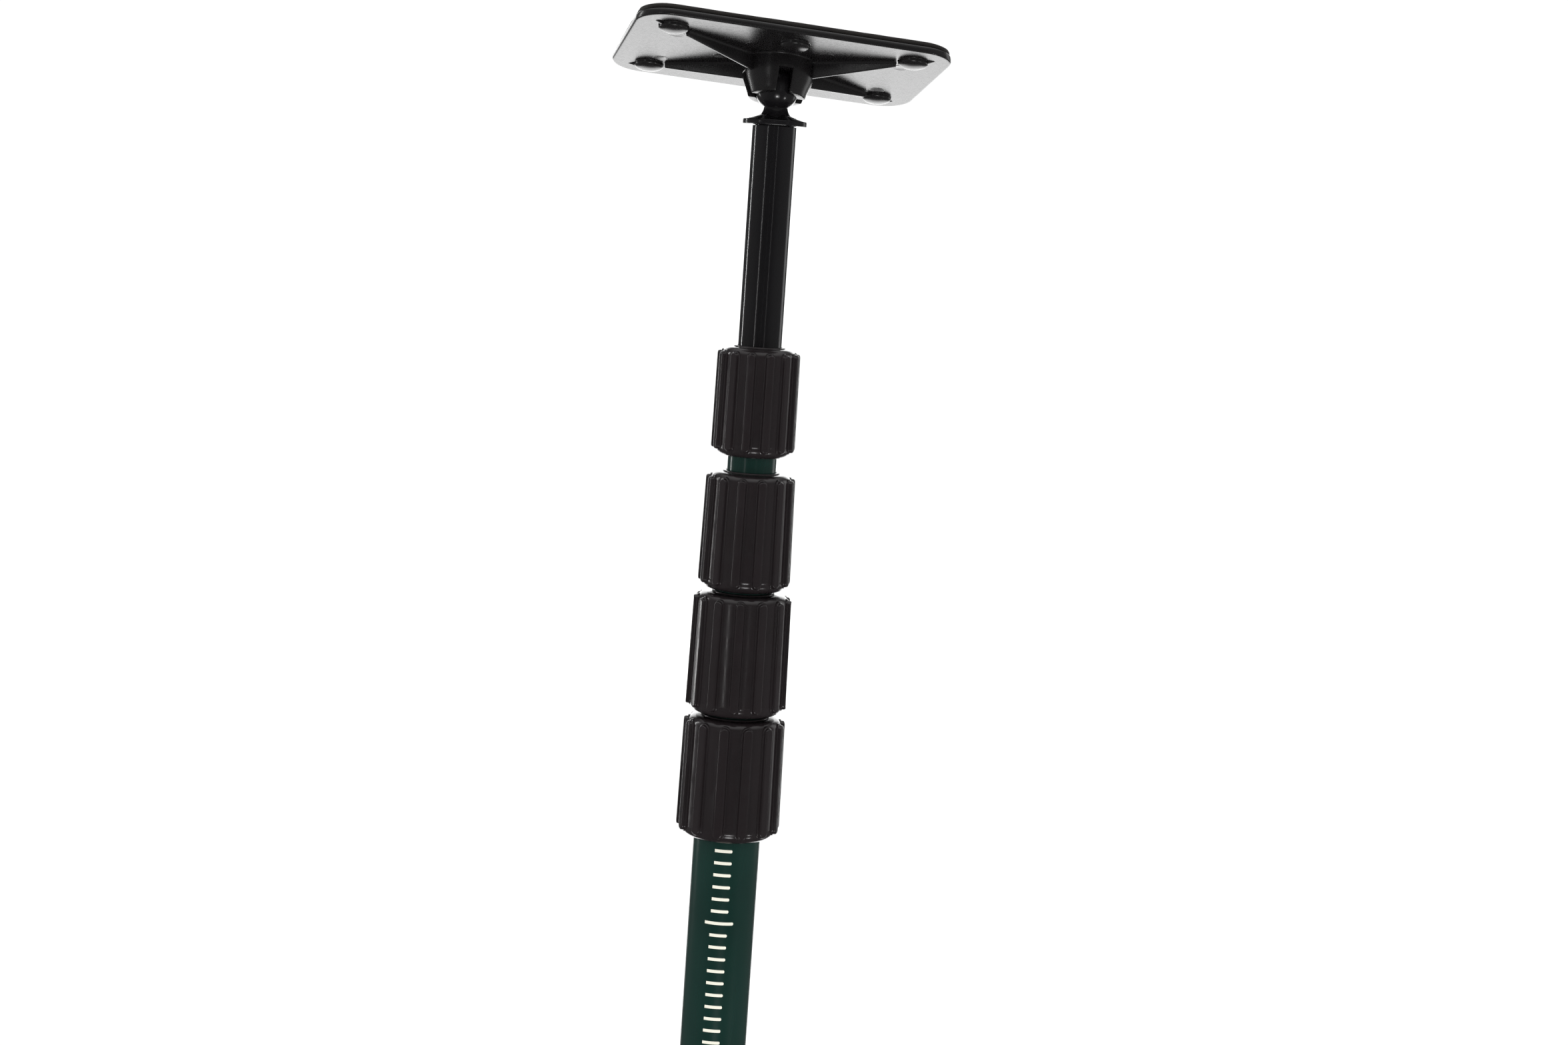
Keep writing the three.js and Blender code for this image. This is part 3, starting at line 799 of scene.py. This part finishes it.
def makeSocket():
    # a solid hub, hollowed by a ball and cut by two crossing slots into four fingers
    look = headLook
    under = look["under"]
    rim = -look["rimBelow"]
    edge = look["hubRound"]
    fillet = look["hubFillet"]
    root = under + look["sunk"]
    outline = [(0, rim), (look["hubRim"] - edge, rim), (look["hubRim"], rim + edge)]
    outline += [(look["hub"] - back, height) for back, height in look["hubProfile"]]
    outline.append((look["hub"], under - fillet))
    outline += arc(look["hub"] + fillet, under - look["filletDrop"], fillet, 180, 95, 5)
    outline += [(look["hub"] + fillet, root), (0, root)]
    hub = spinOutline("hub", outline, 64)
    bpy.ops.object.select_all(action="DESELECT")
    bpy.ops.mesh.primitive_uv_sphere_add(segments=64, ring_count=32, radius=look["socket"] * mm)
    cutters = [bpy.context.object]
    height = look["slotTop"] - rim + 2
    for turn in (0, 90):
        clearSelection()
        bpy.ops.mesh.primitive_cube_add(size=1, location=(0, 0, (look["slotTop"] - height / 2) * mm))
        cutter = bpy.context.object
        cutter.scale = (40 * mm, look["slot"] * mm, height * mm)
        cutter.rotation_euler.z = math.radians(turn)
        bpy.ops.object.transform_apply(location=True, rotation=True, scale=True)
        cutters.append(cutter)
    for cutter in reversed(cutters):  # slots first, then the ball's hollow
        applyModifier(hub, "BOOLEAN", operation="DIFFERENCE", solver="EXACT", object=cutter)
        bpy.data.objects.remove(cutter)
    applyModifier(hub, "BEVEL", width=look["fingerEdge"] * mm, segments=2, limit_method="ANGLE",
                  angle_limit=math.radians(38), use_clamp_overlap=True)
    return hub


def makeEjectorMark(x, y):
    under = headLook["under"]
    radius = headLook["ejectorRadius"]
    outline = [(0, under + 0.3), (radius, under + 0.3), (radius, under - 0.03), (radius - 0.15, under - 0.09),
               (radius - 0.4, under - 0.1), (radius - 0.6, under - 0.05), (0, under - 0.05)]
    mark = spinOutline("ejectorMark", outline, 40)
    mark.location = (x * mm, y * mm, 0)
    return mark


def makeHead():
    look = headLook
    top = look["under"] + look["thickness"]
    parts = [roundedSheet("plate", look["length"], look["width"], look["corner"], look["under"], top,
                          look["rimRound"])]
    parts.append(makeSocket())
    for x in (-look["bossX"], look["bossX"]):
        for y in (-look["bossY"], look["bossY"]):
            angle = math.atan2(y, x)
            parts += [makeBoss(x, y), makeWeb(angle), makeWebFoot(angle), makeGusset(angle)]
    for y in (-look["bossY"], look["bossY"]):
        parts.append(makeBoss(0, y))
    for x, y in ejectorPlaces:
        parts.append(makeEjectorMark(x, y))
    for part in parts:
        fixPlace(part)
    head = joinAll("ceilingPlate", parts)
    fixPlace(head, headPose)
    smooth(head, 30)
    return register(head, "head", "head_plastic", headPlastic, "head_plate")


makeHead()


print("ceiling pad")

padLook = {"inset": 0.8, "gap": 0.12, "thickness": 1.95, "edge": 0.6, "voxel": 0.55, "wave": 0.16,
           "waveLength": 14.0}


def makePad():
    # foam rubber sheet glued on the plate; its cut edge runs a little wavy
    look = padLook
    low = headLook["under"] + headLook["thickness"] + look["gap"]
    length = headLook["length"] - 2 * look["inset"]
    width = headLook["width"] - 2 * look["inset"]
    corner = headLook["corner"] - look["inset"]
    pad = roundedSheet("foamPad", length, width, corner, low, low + look["thickness"], look["edge"])
    applyModifier(pad, "REMESH", mode="VOXEL", voxel_size=look["voxel"] * mm)
    texture = bpy.data.textures.new("padWave", "CLOUDS")
    texture.noise_scale = look["waveLength"] * mm
    applyModifier(pad, "DISPLACE", texture=texture, strength=look["wave"] * 2 * mm, mid_level=0.5,
                  texture_coords="LOCAL")
    applyModifier(pad, "SMOOTH", factor=0.5, iterations=3)
    fixPlace(pad, headPose)
    smooth(pad, 60)
    return register(pad, "head", "pad_rubber", padRubber, "ceiling_pad")


makePad()


print("pressure spring")

springLook = {"wire": 0.8, "turns": 10, "travel": 75.0, "steps": 28}  # wire is the wire's radius


def makeSpring():
    # wire circle screwed up round the axis; the coil is drawn at one length and does not shorten as the
    # plunger goes down
    look = springLook
    low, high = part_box("pressure_spring")
    bottom = low[2] / mm + look["wire"]
    length = high[2] / mm - look["wire"] - bottom
    radius = high[0] / mm - look["wire"]
    clearSelection()
    bpy.ops.mesh.primitive_circle_add(vertices=12, radius=look["wire"] * mm,
                                      location=(radius * mm, 0, bottom * mm), rotation=(math.pi / 2, 0, 0))
    spring = bpy.context.object
    spring.name = spring.data.name = "pressureSpring"
    fixPlace(spring)
    rise = length / look["turns"] * mm
    applyModifier(spring, "SCREW", axis="Z", angle=math.radians(360), screw_offset=rise,
                  iterations=look["turns"], steps=look["steps"], render_steps=look["steps"],
                  use_merge_vertices=True)
    pickOnly(spring)
    enterEdit()
    pickParts("EDGE", lambda e: e.is_boundary)
    bpy.ops.mesh.fill_holes(sides=0)
    faceOutward()
    leaveEdit("pressureSpring")
    smooth(spring, 50)
    register(spring, "stage_4", "spring_steel", springSteel, "pressure_spring")
    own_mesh(spring)


makeSpring()


print("foot")

footLook = {"wall": 2.2, "tread": 17.5, "floor": 5.0, "treadRound": 1.2, "gap": 0.3, "rimRound": 1.1,
            "grooves": 5, "grooveStart": 15, "groovePitch": 4.2, "grooveDepth": 0.5}


def makeFoot():
    # a moulded rubber cup with a flared tread and gripping rings on its side
    low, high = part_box("rubber_foot")
    height = (high[2] - low[2]) / mm
    bore = tubeRadius("tube_1") + footLook["gap"]
    wall = bore + footLook["wall"]
    tread = footLook["tread"]
    edge = footLook["treadRound"]
    rim = footLook["rimRound"]
    groove = wall - footLook["grooveDepth"]
    outline = [(0, 0.9), (5, 0.9), (5.6, 0.0), (tread - edge, 0)]
    outline += arc(tread - edge, edge, edge, -90, 0, 5)
    outline += [(tread, 4.4)] + arc(tread - 1.0, 4.6, 1.0, 0, 50, 4)
    outline += [(wall + 0.4, 8.5), (wall, 10.5)]
    for i in range(footLook["grooves"]):
        base = footLook["grooveStart"] + i * footLook["groovePitch"]
        outline += [(wall, base), (groove, base + 0.45), (groove, base + 0.95), (wall, base + 1.4)]
    outline += arc(wall - rim, height - rim, rim, 0, 90, 5)
    outline += [(bore + 0.2, height), (bore, height - 0.2), (bore, footLook["floor"]), (0, footLook["floor"])]
    foot = smooth(spinOutline("mouldedFoot", outline, 96))
    return register(foot, "pole", "foot_rubber", footRubber, "rubber_foot")


makeFoot()


print("stage and light")

lightLook = {"panel": 2.9, "panelSide": (0.34, 0.62), "panelLow": (-0.86, -0.7), "panelHigh": (0.3, 0.5),
             "room": 0.06, "sides": 0.1, "sideFade": (0.35, 1.0), "ceiling": 0.9, "ceilingFade": (0.45, 0.95),
             "soft": 1.13, "seen": 1.05}
stripLook = {
    "stripLeft": {"azimuth": -32, "distance": 1.6, "width": 0.02, "height": 0.8, "power": 0.45},
    "stripRight": {"azimuth": 20, "distance": 1.6, "width": 0.02, "height": 0.8, "power": 0.1},
    "stripSide": {"azimuth": -112, "distance": 1.5, "width": 0.05, "height": 1.25, "power": 3.4,
                  "middle": 1.12},
    "stripFar": {"azimuth": 124, "distance": 1.5, "width": 0.5, "height": 1.25, "power": 1.6,
                 "middle": 1.12},
    "lowLamp": {"azimuth": 5, "distance": 1.15, "width": 0.3, "height": 0.16, "power": 2.2, "middle": 0.1,
                "aim": 1.1},
    "lowSide": {"azimuth": 58, "distance": 1.15, "width": 0.15, "height": 0.14, "power": 0.7, "middle": 0.1,
                "aim": 1.1},
}


def makeWorld():
    # white for the eye and even for matt surfaces; what gloss sees is a dim room with paler sides,
    # a pale ceiling and one broad bright panel behind the pole
    world = bpy.data.worlds.new("studio")
    bpy.context.scene.world = world
    world.use_nodes = True
    tree = world.node_tree
    tree.nodes.clear()
    direction = addNode(tree, "ShaderNodeTexCoord").outputs["Generated"]
    split = addNode(tree, "ShaderNodeSeparateXYZ", None, {"Vector": direction})

    def fade(value, start, end):
        return addNode(tree, "ShaderNodeMapRange", {"interpolation_type": "SMOOTHSTEP"},
                       {"Value": value, "From Min": start, "From Max": end}).outputs["Result"]

    def maths(operation, first, second=0.0):
        return addNode(tree, "ShaderNodeMath", {"operation": operation}, {0: first, 1: second}).outputs[0]

    sideways = maths("ABSOLUTE", split.outputs["X"])
    spread = maths("DIVIDE", sideways, maths("MAXIMUM", split.outputs["Y"], 0.001))
    narrow, wide = lightLook["panelSide"]
    high, higher = lightLook["panelHigh"]
    panel = maths("MULTIPLY", fade(spread, wide, narrow), fade(split.outputs["Z"], *lightLook["panelLow"]))
    panel = maths("MULTIPLY", maths("MULTIPLY", panel, fade(split.outputs["Z"], higher, high)),
                  lightLook["panel"])
    sides = maths("MULTIPLY", fade(sideways, *lightLook["sideFade"]), lightLook["sides"])
    ceiling = maths("MULTIPLY", fade(split.outputs["Z"], *lightLook["ceilingFade"]),
                    lightLook["ceiling"])
    gloss = maths("ADD", maths("ADD", panel, sides), maths("ADD", ceiling, lightLook["room"]))
    rays = addNode(tree, "ShaderNodeLightPath")
    level = addNode(tree, "ShaderNodeMix", {"data_type": "FLOAT"}, {0: rays.outputs["Is Diffuse Ray"]})
    tree.links.new(gloss, level.inputs[2])
    level.inputs[3].default_value = lightLook["soft"]
    seen = addNode(tree, "ShaderNodeMix", {"data_type": "FLOAT"}, {0: rays.outputs["Is Camera Ray"]})
    tree.links.new(level.outputs[0], seen.inputs[2])
    seen.inputs[3].default_value = lightLook["seen"]
    glow = addNode(tree, "ShaderNodeBackground", None,
                   {"Color": (1, 1, 1, 1), "Strength": seen.outputs[0]})
    out = addNode(tree, "ShaderNodeOutputWorld")
    tree.links.new(glow.outputs["Background"], out.inputs["Surface"])


def makeStrip(name, azimuth, distance, width, height, power, middle=1.2, aim=None):
    # azimuth is counted from the camera's side of the pole, to the right
    target = Vector((0, 0, middle if aim is None else aim))
    angle = math.radians(azimuth)
    data = bpy.data.lights.new(name, "AREA")
    data.shape = "RECTANGLE"
    data.size = width
    data.size_y = height
    data.energy = power
    lamp = bpy.data.objects.new(name, data)
    bpy.context.collection.objects.link(lamp)
    lamp.location = (distance * math.sin(angle), -distance * math.cos(angle), middle)
    lamp.rotation_euler = (target - lamp.location).to_track_quat("-Z", "Y").to_euler()
    lamp.visible_camera = False


def makeFloor():
    clearSelection()
    bpy.ops.mesh.primitive_plane_add(size=60, location=(0, 0, 0))
    floor = bpy.context.object
    floor.name = "studioFloor"
    material, _, shader, _ = newMaterial("paleStudioPaper")
    shader.inputs["Base Color"].default_value = hexColour("f7f7f6")
    shader.inputs["Roughness"].default_value = 0.9
    floor.data.materials.append(material)
    floor.visible_glossy = False


makeWorld()
for name, spec in stripLook.items():
    makeStrip(name, **spec)
makeFloor()
bpy.context.scene.view_settings.view_transform = "Standard"
